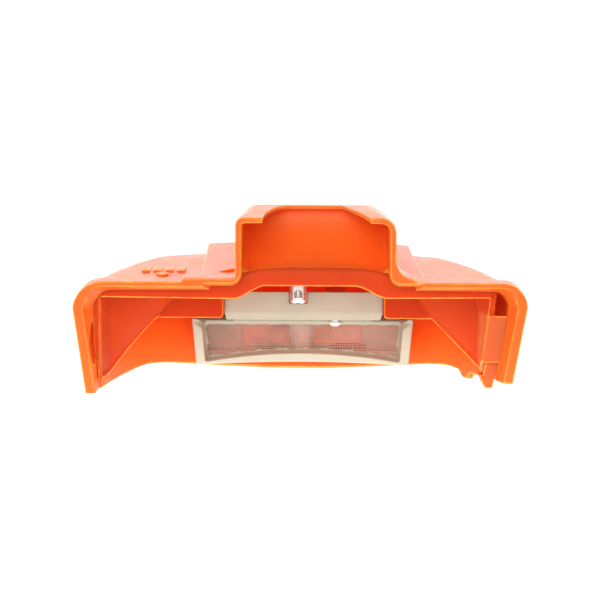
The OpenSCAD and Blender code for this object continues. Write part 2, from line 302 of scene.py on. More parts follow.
def slope_of(field, p, reach=0.02):
    """The field's value and gradient at points p."""
    x, t, z = p.T
    value = field(x, t, z)
    gradient = np.stack(
        [
            field(x + reach, t, z) - field(x - reach, t, z),
            field(x, t + reach, z) - field(x, t - reach, z),
            field(x, t, z + reach) - field(x, t, z - reach),
        ],
        axis=1,
    ) / (2 * reach)
    return value, gradient


def bend_of(field, p, reach=0.25):
    """How sharply the surface bends outwards at points p, per millimetre: 0 where it is flat."""
    x, t, z = p.T
    total = -6 * field(x, t, z)
    for move in (-reach, reach):
        total = total + field(x + move, t, z) + field(x, t + move, z) + field(x, t, z + move)
    return total / reach**2


def settle(field, p, step, rounds=3):
    """Moves points onto the zero surface."""
    for _ in range(rounds):
        value, gradient = slope_of(field, p)
        size = np.maximum((gradient**2).sum(axis=1), 0.25)
        move = np.clip(value / size, -0.6 * step, 0.6 * step)
        p = p - gradient * move[:, None]
    return p


def relax(verts, faces, share=0.5):
    """Each vertex moves towards the middle of its neighbours."""
    total = np.zeros_like(verts)
    count = np.zeros(len(verts))
    for k in range(4):
        a, b = faces[:, k], faces[:, (k + 1) % 4]
        for here, there in ((a, b), (b, a)):
            for axis in range(3):
                total[:, axis] += np.bincount(here, verts[there, axis], len(verts))
            count += np.bincount(here, minlength=len(verts))
    return verts + share * (total / np.maximum(count, 1)[:, None] - verts)


def to_frame(p):
    """Millimetres behind the rim to the frame's metres."""
    return (p + np.array([0, RIM_Y, 0])) * MM


def link(name, mesh):
    piece = bpy.data.objects.new(name, mesh)
    bpy.context.scene.collection.objects.link(piece)
    return piece


def skin(name, field, low, high, step, most_faces=None):
    """A mesh piece of the field's surface, as smooth as the field itself."""
    verts, faces = surface_net(field, low, high, step)
    verts = settle(field, verts, step)
    for _ in range(3):
        verts = settle(field, relax(verts, faces), step, 2)
    mesh = bpy.data.meshes.new(name)
    mesh.vertices.add(len(verts))
    mesh.vertices.foreach_set("co", to_frame(verts).astype(np.float32).ravel())
    mesh.loops.add(faces.size)
    mesh.loops.foreach_set("vertex_index", faces.astype(np.int32).ravel())
    mesh.polygons.add(len(faces))
    mesh.polygons.foreach_set("loop_start", np.arange(0, faces.size, 4, dtype=np.int32))
    mesh.update(calc_edges=True)
    mesh.validate()
    piece = link(name, mesh)
    if most_faces and 2 * len(faces) > most_faces:
        thin = piece.modifiers.new("thin", "DECIMATE")
        thin.ratio = most_faces / (2 * len(faces))
        bpy.context.view_layer.update()
        finished = piece.evaluated_get(bpy.context.evaluated_depsgraph_get())
        mesh = bpy.data.meshes.new_from_object(finished)
        piece.modifiers.clear()
        piece.data = mesh
        mesh.name = name
    co = np.empty(len(mesh.vertices) * 3, np.float32)
    mesh.vertices.foreach_get("co", co)
    points = co.reshape(-1, 3).astype(float) / MM - np.array([0, RIM_Y, 0])
    gradient = slope_of(field, points)[1]
    normals = gradient / np.maximum(np.linalg.norm(gradient, axis=1), 1e-6)[:, None]
    mesh.shade_smooth()
    mesh.normals_split_custom_set_from_vertices(normals.astype(np.float32))
    bend = mesh.attributes.new("bend", "FLOAT", "POINT")
    bend.data.foreach_set("value", bend_of(field, points).astype(np.float32))
    return piece


# ---------------------------------------------------------------- the orange cover
WALL = 2.2
HUMP_WALL = WALL - 0.3
LIP_OUT = 0.9  # how far the lip stands out around the rim
LIP_DEPTH = 7.0
ROOF_Z = 33.85  # the roof's height at the rim, without the lip
ROOF_RISE = 0.1228
SHOULDER = 27.0  # below this height the sides draw in
PLATEAU_RISE = 1.1
PLATEAU_LEFT = -31.0
PLATEAU_RIGHT = 38.8
LIP_PLATEAU_LEFT = -35.6
LIP_PLATEAU_RIGHT = 35.0
HUMP_LEFT = -20.2
HUMP_RIGHT = 29.7
HUMP_TOP = 54.75
SCOOP_FLOOR = 38.75
SCOOP_BACK = 26.2
LOCK_X = -0.6  # the lock's axis
LOCK_T = 38.0
WELL_R = 9.5  # the recess for the knob
WELL_FLOOR = 42.0


def plan_field(x, t, z):
    """The cover's outline from above: sides that draw in towards the foot, and an elliptical back."""
    low = np.maximum(SHOULDER - z, 0)
    lean = low * np.where(x < 0, 0.152, 0.185)
    half = 69.6 - 0.12 * t - 0.003 * t * t - lean
    side = (np.abs(x) - half) * 0.97
    wide, deep = 74 - lean, 52 - 0.03 * low
    u, v = x / wide, np.maximum(t - 20, 0) / deep
    k = np.sqrt(u * u + v * v) + 1e-6
    back = (k - 1) * k / np.sqrt((u / wide) ** 2 + (v / deep) ** 2 + 1e-12)
    return both(side, back, 9 * ease(15, 55, t) + 0.01)


def roof_height(x, t):
    """The roof beside the plateau, falling away a little at the sides and at the back."""
    return ROOF_Z + ROOF_RISE * t - 0.6 * (x / 60) ** 4 * (t / 40) - 0.0025 * np.maximum(t - 40, 0) ** 2


def body_field(x, t, z, inset, left=PLATEAU_LEFT, right=PLATEAU_RIGHT, fuller=0.0):
    """The cover's body without its hump, drawn in by an inset. Its plateau runs from left to right.

    fuller takes that much off the radius of its two top corners.
    """
    plan = plan_field(x, t, z) + inset
    round_r = np.where(x < 0, 8.5, 6.8 + 1.4 * ease(5, 12, t)) - inset * 0.8
    round_r = round_r + 5 * ease(20, 60, t) - fuller
    sides = both(plan, z - roof_height(x, t) + inset, round_r)
    flat = both(z - ROOF_Z - PLATEAU_RISE - ROOF_RISE * t + inset, plan, 4)
    flat = both(flat, left - x + inset, 0.6)
    flat = both(flat, x - right + 2.2 * ease(10, 60, t) + inset, 0.6)
    return either(sides, flat, 0.5)


def hump_field(x, t, z, inset):
    """The hump: its top rises and then falls to the back, and its corners are rounder behind the rim."""
    back = ease(0, 24, t)
    left = HUMP_LEFT - x + inset
    right = x - HUMP_RIGHT + inset
    rise = HUMP_TOP + ROOF_RISE * np.minimum(t, 24) - 0.0035 * np.maximum(t - 22, 0) ** 2
    top = z - rise + inset
    behind = t - 60 + inset + 0.12 * (z - 40)
    shape = both(top, left, 2.6 - 0.6 * inset + 4.9 * back)
    shape = both(shape, right, 4.6 - 0.8 * inset + 5.2 * back)
    shape = both(shape, behind, 11 - inset)
    return both(shape, 30 - z)


def scoop_floor(x, t):
    """The floor of the scoop, lower at its two sides and rising a little towards the back."""
    middle = (HUMP_LEFT + HUMP_RIGHT) / 2
    return SCOOP_FLOOR - 2.2 * np.clip((x - middle) / 24, -1, 1) ** 4 + 0.27 * np.maximum(t - 8, 0)


def scoop_field(x, t, z):
    """The open pocket in the hump's front: a floor that curves up into a back wall."""
    pocket = both(scoop_floor(x, t) - z, t - SCOOP_BACK + 0.05 * (50 - z), 13)
    pocket = both(pocket, HUMP_LEFT + 2.1 - x, 3)
    return both(pocket, x - HUMP_RIGHT + 2.0, 3)


def room_field(x, t, z, inset):
    """The space inside the cover's walls, drawn in by a further inset."""
    room = body_field(x, t, z, WALL + inset)
    return either(room, hump_field(x, t, z, HUMP_WALL + inset), 3.5)


def rim_thickness(x, t, z):
    """The wall's thickness inside the rim: it grows towards the baffle, which makes a ramp."""
    up = np.clip((z - 4) / 23, 0, 1)
    side = lerp(np.where(x < 0, 1.6, 2.7), np.where(x < 0, 3.9, 3.4), up)
    roof = ease(28.5, 33, z)
    ramp = np.clip(t / 7.4, 0, 1)
    thick = lerp(lerp(2.1, 0.6, roof), lerp(side, 2.9, roof), ramp)
    return lerp(thick, WALL, ease(8.2, 9.6, t))


def hollow_field(x, t, z):
    """All that is hollow inside the cover: the room with its ramp, and a shallow pocket on the left."""
    room = body_field(x, t, z, rim_thickness(x, t, z))
    room = either(room, hump_field(x, t, z, HUMP_WALL), 3.5)
    pocket = np.sqrt(((x + 64.4) / 1.3) ** 2 + ((t - 5) / 4.5) ** 2 + ((z - 15.6) / 7) ** 2)
    return np.minimum(room, (pocket - 1) * 1.3)


def foot_height(x, t):
    """The arched lower edge of the side walls. On the right it is higher in front, and has a tooth."""
    rising = 3.5 * (np.clip(t, 0, 50) / 50) ** 1.2
    falling = 3.5 * (1 - ((np.clip(t, 50, 71) - 50) / 20.5) ** 2)
    arch = np.where(t < 50, rising, np.maximum(falling, 0)) - 0.35 * ease(8, 0, t)
    cut = 3.6 - 0.8 * ease(23, 27, t) - 2.0 * ease(34.5, 36.5, t)
    return np.where(x > 45, lerp(cut, arch, ease(38.5, 44, t)), arch)


def mark_field(x, t, z):
    """A plain mark on the left of the roof: four short raised bars and a small disc."""
    above = z - roof_height(x, t) - 0.75
    mark = upright_tube(x, t, -43.4, 15.4, 1.9)
    for k in range(4):
        bar = both(np.abs(x + 48.9 - 3.7 * k) - 1.35, np.abs(t - 23.2) - 3.1 - 0.4 * (k % 2), 0.7)
        mark = np.minimum(mark, bar)
    return both(both(mark, above, 0.25), roof_height(x, t) - 1 - z)


def pointer_field(x, t, z):
    """A shallow triangular pointer sunk into the plateau beside the hump."""
    sides = both(0.74 * (np.abs(t - 16) - 1.02 * (x + 25.6)), x + 20.4, 0.3)
    return both(sides, ROOF_Z + PLATEAU_RISE + ROOF_RISE * t - 0.7 - z)


def lock_hollow(x, t, z):
    """The recess in the hump for the knob, and the bush's hole under it."""
    well = both(upright_tube(x, t, LOCK_X, LOCK_T, WELL_R), WELL_FLOOR - z, 0.3)
    return either(well, upright_tube(x, t, LOCK_X, LOCK_T, 4.2), 0.0)


def lock_housing(x, t, z, outer):
    """The walls around the lock's recess, and the boss that holds its bush."""
    wall = both(upright_tube(x, t, LOCK_X, LOCK_T, WELL_R + 2.0), WELL_FLOOR - 2.0 - z, 0.4)
    boss = both(upright_tube(x, t, LOCK_X, LOCK_T, 6.4), 37.0 - z, 0.4)
    return either(both(wall, outer + 0.6), both(boss, z - 41), 0.8)


def cover_outside(x, t, z):
    outer = body_field(x, t, z, 0.0)
    lip = body_field(x, t, z, -LIP_OUT, LIP_PLATEAU_LEFT, LIP_PLATEAU_RIGHT, 1.5 * ease(0, 6, t))
    outer = either(outer, both(lip, t - LIP_DEPTH, 0.5), 0.4)
    fillet = 0.6 + 5.6 * ease(0, 6, x - 15) * ease(30, 8, t)
    outer = either(outer, hump_field(x, t, z, 0.0), fillet)
    return either(outer, mark_field(x, t, z), 0.25)


def notch_field(x, t, z):
    """The finger notch in the hump's top: straight behind, round on the left, slanting on the right."""
    deep = np.maximum(t, 0) / 22.5
    left = (np.maximum(-3.2 - x, 0) / 8.5) ** 2 + deep**2
    right = (np.maximum(x - 13.1, 0) / 8.7) ** 1.2 + deep**1.2
    k = np.where(x < 5, left**0.5, right ** (1 / 1.2))
    return both((k - 1) * 9, 50 - z)


def cover_field(x, t, z):
    outer = cover_outside(x, t, z)
    solid = without(outer, hollow_field(x, t, z), 0.3)
    scoop = scoop_field(x, t, z)
    sheet = both(both(scoop - 2.0, outer + 0.8, 0.5), 7.7 - t, 0.5)
    solid = either(solid, sheet, 0.8)
    solid = either(solid, lock_housing(x, t, z, outer), 0.8)
    inset = 1.75 - 0.028 * np.clip(t, 0, 22)
    solid = without(solid, both(both(scoop, 30 - z), hump_field(x, t, z, inset)), 0.3)
    solid = without(solid, lock_hollow(x, t, z), 0.4)
    solid = without(solid, pointer_field(x, t, z), 0.2)
    # The finger notch in the top, the flat front rim, a pad inside the back wall, and the foot.
    solid = without(solid, notch_field(x, t, z), 0.35)
    solid = both(solid, -t, 0.45)
    pad = both(both(np.abs(x - 12) - 3.3, np.abs(z - 26.5) - 2.4, 0.4), 60 - t)
    solid = either(solid, both(both(pad, -room_field(x, t, z, 1.8)), outer + 0.5), 0.3)
    return both(solid, foot_height(x, t) - z, 0.45)


# ---------------------------------------------------------------- the inner baffle
SHEET = 2.0  # the thickness of its walls
BULKHEAD_T = 7.0
TAB_T = 40.0
LEFT_CREASE_T = 15.0
RIGHT_CREASE_T = 24.0


def bulkhead_low(x):
    """The bulkhead's lower edge: level at both sides, and raised over the filter."""
    share = np.clip((x + 20.3) / 8.8, 0, 1)
    left = 0.5 * (share + ease(0, 1, share))
    right = ease(27.5, 17.0, x)
    return lerp(28.9 + 0.009 * np.abs(x + 15), 33.1, left * right)


def funnel_side(t, z, front, crease, back, crease_t, lean):
    """A side wall of the funnel: straight back to its crease, then slanting in to the tab.

    front, crease and back are its distance from the middle at the height where it ends below; lean is
    how far it leans in per millimetre of height at the front, at the crease and at the tab.
    """
    near = np.clip((t - BULKHEAD_T) / (crease_t - BULKHEAD_T), 0, 1)
    far = np.clip((t - crease_t) / (TAB_T - crease_t), 0, 1.3)
    low = lerp(4.5, 19.8, far)
    slope = lerp(lerp(lean[0], lean[1], near), lean[2], far)
    return lerp(lerp(front, crease, near), back, far) - (z - low) * slope


def web_field(x, z, side, surface, low, bead):
    """One side wall of the funnel, a sheet thick, with a bead along its lower edge."""
    out = side * x - surface
    wall = both(np.abs(out - 0.5 * SHEET) - 0.5 * SHEET, low - z, 0.35)
    rib = np.hypot(out - 0.2, z - low - bead) - bead
    return either(wall, rib, 1.0)


def tab_field(x, t, z, square, rounded):
    low, high = min(square, rounded), max(square, rounded)
    face = both(both(low - x, x - high, 0.0), 19.8 - z, 1.4)
    return both(face, np.abs(t - TAB_T - 0.5 * SHEET) - 0.5 * SHEET, 0.35)


def leg_field(x, t, z):
    """The left leg, and the right leg's low panel, which leaves a window above it."""
    left = both(-63.9 - 0.03 * z - x, x + 62.5, 0.4)
    left = both(left, both(1.6 - z, z - 30), 0.4)
    edge = 57.0 + 0.124 * (z - 9.35)
    panel = both(edge - x, both(9.4 - z, z - 24.1, 0.4), 0.4)
    return both(np.minimum(left, panel), np.abs(t - BULKHEAD_T - 0.5 * SHEET) - 0.5 * SHEET, 0.35)


def fin_field(x, t, z):
    """The plate at the foot of the right-hand side, between the funnel and the cover's wall."""
    low = 1.0 + 4.6 * ease(58.6, 55.6, x) + 3.4 * ease(60.4, 61.4, x)
    high = 5.3 + 4.3 * ease(57.4, 58.6, x)
    return both(both(low - z, z - high, 0.4), both(9.2 - t, t - 16), 0.4)


def baffle_field(x, t, z):
    low = bulkhead_low(x)
    sheet = np.abs(t - BULKHEAD_T - 0.5 * SHEET) - 0.5 * SHEET
    bulkhead = both(both(low - z, sheet, 0.4), x - 59.6)
    solid = both(bulkhead, z - scoop_floor(x, t) - 0.35, 1.6)
    solid = np.minimum(solid, leg_field(x, t, z))
    left = funnel_side(t, z, front=62.3, crease=60.1, back=46.7, crease_t=LEFT_CREASE_T,
                       lean=(0.0, -0.025, 0.8))
    left_low = 4.8 + np.where(t < LEFT_CREASE_T, 0.2, 0.76) * (t - LEFT_CREASE_T)
    left_low = np.minimum(left_low, 19.6)
    right = funnel_side(t, z, front=56.4, crease=58.9, back=43.5, crease_t=RIGHT_CREASE_T,
                        lean=(-0.124, 0.13, 0.76))
    right_low = np.where(t < RIGHT_CREASE_T, 9.4 - 0.34 * (t - 9), 4.3 + 0.994 * (t - RIGHT_CREASE_T))
    left_web = web_field(x, z, -1, left, left_low, 0.6)
    right_web = web_field(x, z, 1, right, right_low, 0.7)
    webs = both(np.minimum(left_web, right_web), both(BULKHEAD_T + 0.6 - t, t - TAB_T - SHEET))
    solid = either(solid, webs, 0.6)
    solid = either(solid, tab_field(x, t, z, -48.0, -25.0), 0.4)
    solid = either(solid, tab_field(x, t, z, 45.0, 27.4), 0.4)
    solid = np.minimum(solid, fin_field(x, t, z))
    return both(solid, room_field(x, t, z, 0.03))


# ---------------------------------------------------------------- the filter cassette
FILTER_T = 43.0
SPLIT_T = 50.0  # where its two halves meet
MESH_T = 48.5
REAR_MESH_T = 63.7
FILTER_TOP = 19.5
PANEL_TOP = 28.3
WINDOW_MIDDLE = 0.9
POST_X = 0.3
POST_T = SPLIT_T + 4.6
PEG_X = 11.6
PEG_T = 45.9
OUTLET_X = 16.0
OUTLET_T = 57.1
OUTLET_R = 6.2


def ripple(a, seed):
    """A smooth uneven line between -1 and 1."""
    total = 0
    for k, (length, phase) in enumerate(((7.3, 0.4), (3.1, 1.9), (1.7, 4.2), (0.9, 2.6))):
        total = total + np.sin(2 * math.pi * a / length + phase * (seed + k)) / (1.4 + k)
    return total / 1.9


def window_field(x, z, grow, rough=0.0):
    """The filter's window, with an arched lower edge. rough makes its edges uneven."""
    half = 32.2 + 0.09 * (z - 17) + grow + rough * ripple(z, 3)
    low = 8.9 - 2.9 * ((x - WINDOW_MIDDLE) / 31.5) ** 2 - grow + rough * ripple(x, 1)
    high = 17.3 + grow - 0.6 * rough * ripple(x, 7)
    return both(np.abs(x - WINDOW_MIDDLE) - half, both(low - z, z - high), 0.8)


def front_outline(x, z, grow):
    half = 36.4 - 0.1 * (FILTER_TOP - z) + grow
    low = 5.2 - 1.15 * (np.clip(x - WINDOW_MIDDLE, -36, 36) / 34) ** 2 - grow
    return both(np.abs(x - WINDOW_MIDDLE) - half, both(low - z, z - FILTER_TOP - grow), 0.9)


def front_frame_field(x, t, z):
    """The cassette's front half: window frame, upper panel, and a rough edge moulded over the mesh."""
    frame = both(front_outline(x, z, 0.0), both(FILTER_T - t, t - SPLIT_T), 0.6)
    panel = both(np.abs(x - 1.2) - 26, both(FILTER_TOP - 1.5 - z, z - PANEL_TOP), 0.6)
    panel = both(panel, both(FILTER_T - t, t - FILTER_T - 1.8), 0.3)
    shoulder = both(np.abs(x - 1) - 23, both(18 - z, z - 21.5, 0.5), 0.5)
    shoulder = both(shoulder, both(44.5 - t, t - SPLIT_T), 0.5)
    solid = either(frame, panel, 0.8)
    solid = either(solid, shoulder, 0.6)
    draft = np.clip(MESH_T - 0.7 - t, 0, 6)
    solid = without(solid, window_field(x, z, 0.1 + 0.16 * draft), 0.35 + 3.4 * ease(15.5, 18.5, z))
    skirt = both(front_outline(x, z, -1.0), -window_field(x, z, -0.35, 0.55), 0.0)
    skirt = both(skirt, np.abs(t - MESH_T) - 0.75, 0.5)
    solid = either(solid, skirt, 0.4)
    channel = both(np.abs(x - LOCK_X) - 3.0, 24.5 - z, 0.5)
    return without(solid, channel, 0.3)


def rear_plan_field(x, t, inset):
    """The rear half seen from above: its middle reaches further back."""
    side = both(np.abs(x - 0.8) - 35 + inset, t - 60 + inset, 4.5)
    middle = both(np.abs(x - 1) - 22 + inset, t - 64.4 + inset, 1.5)
    return either(side, middle, 1.5)


def rear_frame_field(x, t, z):
    low = 6.4 - 0.5 * (np.clip(x - WINDOW_MIDDLE, -36, 36) / 34) ** 2
    solid = both(rear_plan_field(x, t, 0.0), both(low - z, z - 19.5), 1.0)
    solid = both(solid, SPLIT_T + 0.85 - t, 0.2)
    hollow = both(rear_plan_field(x, t, 1.8), both(low + 2 - z, z - 17.7), 0.8)
    solid = without(solid, hollow, 0.2)
    window = both(np.abs(x - 1) - 20, np.abs(z - 13.2) - 3.8, 0.6)
    solid = without(solid, both(window, 58 - t), 0.3)
    for k in range(3):
        rib = both(np.abs(x - 11 * (k - 1) - 1) - 0.45, both(9 - z, z - 17.4))
        solid = either(solid, both(rib, np.abs(t - 64.05) - 0.35, 0.2), 0.2)
    return without(solid, both(upright_tube(x, t, OUTLET_X, OUTLET_T, OUTLET_R), z - 11.4), 0.1)


def post_field(x, t, z):
    """The post inside the cassette: a round column with a thicker head."""
    column = upright_tube(x, t, POST_X, POST_T, 3.4)
    head = both(upright_tube(x, t, POST_X, POST_T, 4.3), 12.4 - z, 1.6)
    return both(either(column, head, 0.6), both(8.4 - z, z - 17.7), 0.2)


def peg_field(x, t, z):
    """The white peg: a domed head under the window's upper edge, on a thin stem."""
    dome = np.sqrt((x - PEG_X) ** 2 + (t - PEG_T) ** 2 + (1.25 * (z - 18.3)) ** 2) - 2.1
    dome = both(dome, z - 18.2, 0.15)
    stem = both(upright_tube(x, t, PEG_X, PEG_T, 1.4), both(18 - z, z - 21.4), 0.2)
    return np.minimum(dome, stem)


def ring_field(x, t, z):
    """The outlet's rubber ring: a flange, a neck, and a small bead inside the mouth."""
    r = np.hypot(x - OUTLET_X, t - OUTLET_T)
    flange = both(r - 6.85, np.abs(z - 5.5) - 0.9, 0.45)
    neck = both(r - OUTLET_R, both(5 - z, z - 9.4), 0.35)
    solid = without(either(flange, neck, 0.2), r - 5.5, 0.35)
    return either(solid, np.hypot(r - 5.7, z - 8.6) - 0.45, 0.2)


# ---------------------------------------------------------------- the lock
KNOB_R = 8.8
KNOB_LOW = 50.7
KNOB_TOP = 55.4
STUD_R = 2.83
STUD_TOP = 52.8
CLIP_Z = 36.3


def knob_field(x, t, z):
    """The knob: a fluted disc with a coin slot across it and a sunk ring around the slot."""
    u, v = x - LOCK_X, t - LOCK_T
    r = np.hypot(u, v)
    solid = both(r - KNOB_R, both(KNOB_LOW - z, z - KNOB_TOP), 0.7)
    for k in range(12):
        a = math.radians(30 * k + 15)
        solid = without(solid, np.hypot(u - 9.1 * math.cos(a), v - 9.1 * math.sin(a)) - 0.9, 0.3)
    solid = without(solid, both(np.abs(r - 6.6) - 0.5, 54.9 - z), 0.2)
    slot = both(both(np.abs(u) - 5.6, np.abs(v) - 1.4, 0.6), 53.0 - z)
    solid = without(solid, slot, 0.3)
    shaft = both(r - STUD_R - 0.02, z - STUD_TOP)
    solid = without(solid, shaft)
    dot = np.sqrt((u - 7.9) ** 2 + v * v + (z - KNOB_TOP) ** 2) - 0.42
    return either(solid, dot, 0.15)


def stud_field(x, t, z):
    """The stud: a shank with a groove for its clip, and a hollow flattened end with an arch in front."""
    u, v = x - LOCK_X, t - LOCK_T
    r = np.hypot(u, v)
    shank = both(r - STUD_R, both(33 - z, z - STUD_TOP), 0.25)
    groove = both(2.2 - r, np.abs(z - CLIP_Z) - 0.4)
    shank = without(shank, groove)
    flat = both(np.abs(u) - STUD_R, np.abs(v) - 2.35, 0.35)
    slant = 0.64 * np.abs(u) + 0.77 * np.abs(v) - 3.0
    end = both(both(flat, slant, 0.4), r - 2.84, 0.3)
    end = both(both(end, 24.8 - z, 1.5), z - 33.4)
    solid = either(shank, end, 0.3)
    solid = without(solid, both(np.hypot(u, v) - 1.75, z - 30.2, 0.8), 0.2)
    arch = both(np.hypot(u, np.maximum(z - 28.3, 0)) - 1.3, 27.0 - z, 0.3)
    solid = without(solid, both(arch, v), 0.25)
    pin = np.hypot(u, z - 51.8) - 0.7
    return without(solid, pin)


def clip_field(x, t, z):
    """The retainer: an E-clip with three inner lugs and an open side."""
    u, v = x - LOCK_X, t - LOCK_T
    r = np.hypot(u, v)
    ring = both(r - 4.8, 3.35 - r, 0.2)
    lugs = 9.0
    for angle in (-90, 20, 160):
        c, s = math.cos(math.radians(angle)), math.sin(math.radians(angle))
        lug = both(np.abs(-s * u + c * v) - 0.9, -(c * u + s * v), 0.2)
        lugs = np.minimum(lugs, both(both(lug, r - 4), 2.22 - r, 0.1))
    solid = either(ring, lugs, 0.3)
    mouth = both(np.abs(u) - 1.9 - 0.25 * np.maximum(v - 2.4, 0), -v)
    solid = without(solid, mouth, 0.3)
    return both(solid, np.abs(z - CLIP_Z) - 0.38, 0.12)


# ---------------------------------------------------------------- threads and coils
def sweep(name, paths, radius, sides, across):
    """Round wires along the paths. across gives two directions square to each path, for every point."""
    verts, faces = [], []
    start = 0
    angles = 2 * math.pi * np.arange(sides) / sides
    for path, (first, second) in zip(paths, across):
        along = np.cos(angles)[None, :, None] * first[:, None, :]
        aside = np.sin(angles)[None, :, None] * second[:, None, :]
        ring = path[:, None, :] + radius * (along + aside)
        verts.append(ring.reshape(-1, 3))
        n = len(path)
        i, j = np.meshgrid(np.arange(n - 1), np.arange(sides), indexing="ij")
        a, b = start + i * sides + j, start + i * sides + (j + 1) % sides
        faces += np.stack([a, b, b + sides, a + sides], axis=-1).reshape(-1, 4).tolist()
        faces.append([start + k for k in reversed(range(sides))])
        faces.append([start + (n - 1) * sides + k for k in range(sides)])
        start += n * sides
    mesh = bpy.data.meshes.new(name)
    mesh.from_pydata(to_frame(np.concatenate(verts)).tolist(), [], faces)
    mesh.update()
    mesh.shade_smooth()
    return link(name, mesh)


def weave(name, left, right, low, high, t, pitch, wire):
    """A woven mesh: threads that pass over and under each other by turns."""
    xs = np.arange(left, right, pitch)
    zs = np.arange(low, high, pitch)
    paths, across = [], []
    for k, z in enumerate(zs):
        n = len(xs) * 2 - 1
        x = np.linspace(xs[0], xs[-1], n)
        wave = 0.5 * wire * np.cos(math.pi * (np.arange(n) / 2 + k))
        paths.append(np.stack([x, t + wave, np.full(n, z)], axis=1))
        across.append((np.tile([0, 1.0, 0], (n, 1)), np.tile([0, 0, 1.0], (n, 1))))
    for k, x in enumerate(xs):
        n = len(zs) * 2 - 1
        z = np.linspace(zs[0], zs[-1], n)
        wave = -0.5 * wire * np.cos(math.pi * (np.arange(n) / 2 + k))
        paths.append(np.stack([np.full(n, x), t + wave, z], axis=1))
        across.append((np.tile([1.0, 0, 0], (n, 1)), np.tile([0, 1.0, 0], (n, 1))))
    return sweep(name, paths, 0.5 * wire, 5, across)


def spring_piece(low, high, radius, wire, turns):
    """The compression spring, with a closed turn at each end."""
    n = int((turns + 2) * 36)
    s = np.linspace(-1, turns + 1, n)
    rise = high - low - 3.2 * wire
    z = low + 0.5 * wire + 1.1 * wire * np.clip(s + 1, 0, 1) + rise * np.clip(s / turns, 0, 1)
    z = z + 1.1 * wire * np.clip(s - turns, 0, 1)
    a = 2 * math.pi * s
    path = np.stack([LOCK_X + radius * np.cos(a), LOCK_T + radius * np.sin(a), z], axis=1)
    out = np.stack([np.cos(a), np.sin(a), 0 * a], axis=1)
    up = np.tile([0, 0, 1.0], (n, 1))
    return sweep("coil_spring", [path], 0.5 * wire, 12, [(out, up)])


# ---------------------------------------------------------------- materials
class Recipe:
    """A material's nodes, with short calls to add and join them."""

    def __init__(self, name):
        self.material = bpy.data.materials.new(name)
        self.material.use_nodes = True
        self.tree = self.material.node_tree
        self.shader = self.tree.nodes["Principled BSDF"]
        self.place = self.tree.nodes.new("ShaderNodeTexCoord").outputs["Object"]

    def link(self, source, target):
        self.tree.links.new(source, target)

    def noise(self, size, detail=3.0, rough=0.55, stretch=None):
        """Noise with features of about size millimetres."""
        node = self.tree.nodes.new("ShaderNodeTexNoise")
        node.inputs["Scale"].default_value = 1 / (size * MM)
        node.inputs["Detail"].default_value = detail
        node.inputs["Roughness"].default_value = rough
        source = self.place
        if stretch:
            mapping = self.tree.nodes.new("ShaderNodeMapping")
            mapping.inputs["Scale"].default_value = stretch
            self.link(source, mapping.inputs["Vector"])
            source = mapping.outputs["Vector"]
        self.link(source, node.inputs["Vector"])
        return node.outputs["Fac"]

    def ramp(self, source, low, high, start=0.35, end=0.65):
        node = self.tree.nodes.new("ShaderNodeMapRange")
        node.inputs["From Min"].default_value = start
        node.inputs["From Max"].default_value = end
        node.inputs["To Min"].default_value = low
        node.inputs["To Max"].default_value = high
        self.link(source, node.inputs["Value"])
        return node.outputs["Result"]

    def mix(self, share, first, second):
        """first where share is 0, second where it is 1; either may be a colour or an output."""
        node = self.tree.nodes.new("ShaderNodeMix")
        node.data_type = "RGBA"
        # The node has a set of sockets for each type of data; these are the ones for colours.
        factor, colour_a, colour_b = node.inputs[0], node.inputs[6], node.inputs[7]
        result = node.outputs[2]
        self.link(share, factor)
        for value, socket in ((first, colour_a), (second, colour_b)):
            if isinstance(value, tuple):
                socket.default_value = (*value, 1)
            else:
                self.link(value, socket)
        return result

    def times(self, a, b):
        node = self.tree.nodes.new("ShaderNodeMath")
        node.operation = "MULTIPLY"
        self.link(a, node.inputs[0])
        if isinstance(b, float):
            node.inputs[1].default_value = b
        else:
            self.link(b, node.inputs[1])
        return node.outputs[0]

    def along(self, axis, low, high, start, end):
        """start up to the height low on an axis, and end from high on, in millimetres of the frame."""
        node = self.tree.nodes.new("ShaderNodeSeparateXYZ")
        self.link(self.place, node.inputs["Vector"])
        return self.ramp(node.outputs[axis], start, end, low * MM, high * MM)

    def edges(self, low=0.7, high=2.2):
        """1 on sharp outer edges, 0 on flat faces."""
        node = self.tree.nodes.new("ShaderNodeAttribute")
        node.attribute_name = "bend"
        return self.ramp(node.outputs["Fac"], 0, 1, low, high)

    def bump(self, heights):
        """heights is a list of (output, depth in millimetres)."""
        normal = None
        for source, depth in heights:
            node = self.tree.nodes.new("ShaderNodeBump")
            node.inputs["Distance"].default_value = depth * MM
            node.inputs["Strength"].default_value = 1
            self.link(source, node.inputs["Height"])
            if normal:
                self.link(normal, node.inputs["Normal"])
            normal = node.outputs["Normal"]
        self.link(normal, self.shader.inputs["Normal"])

    def glow(self, weight, radius, scale):
        """Light that passes a little way through the material; scale is in millimetres."""
        self.shader.inputs["Subsurface Weight"].default_value = weight
        self.shader.inputs["Subsurface Radius"].default_value = radius
        self.shader.inputs["Subsurface Scale"].default_value = scale * MM

    def finish(self, colour, rough, metal=0.0, level=0.5):
        for value, name in ((colour, "Base Color"), (rough, "Roughness")):
            socket = self.shader.inputs[name]
            if isinstance(value, tuple):
                socket.default_value = (*value, 1)
            elif isinstance(value, float):
                socket.default_value = value
            else:
                self.link(value, socket)
        self.shader.inputs["Metallic"].default_value = metal
        self.shader.inputs["Specular IOR Level"].default_value = level
        return self.material


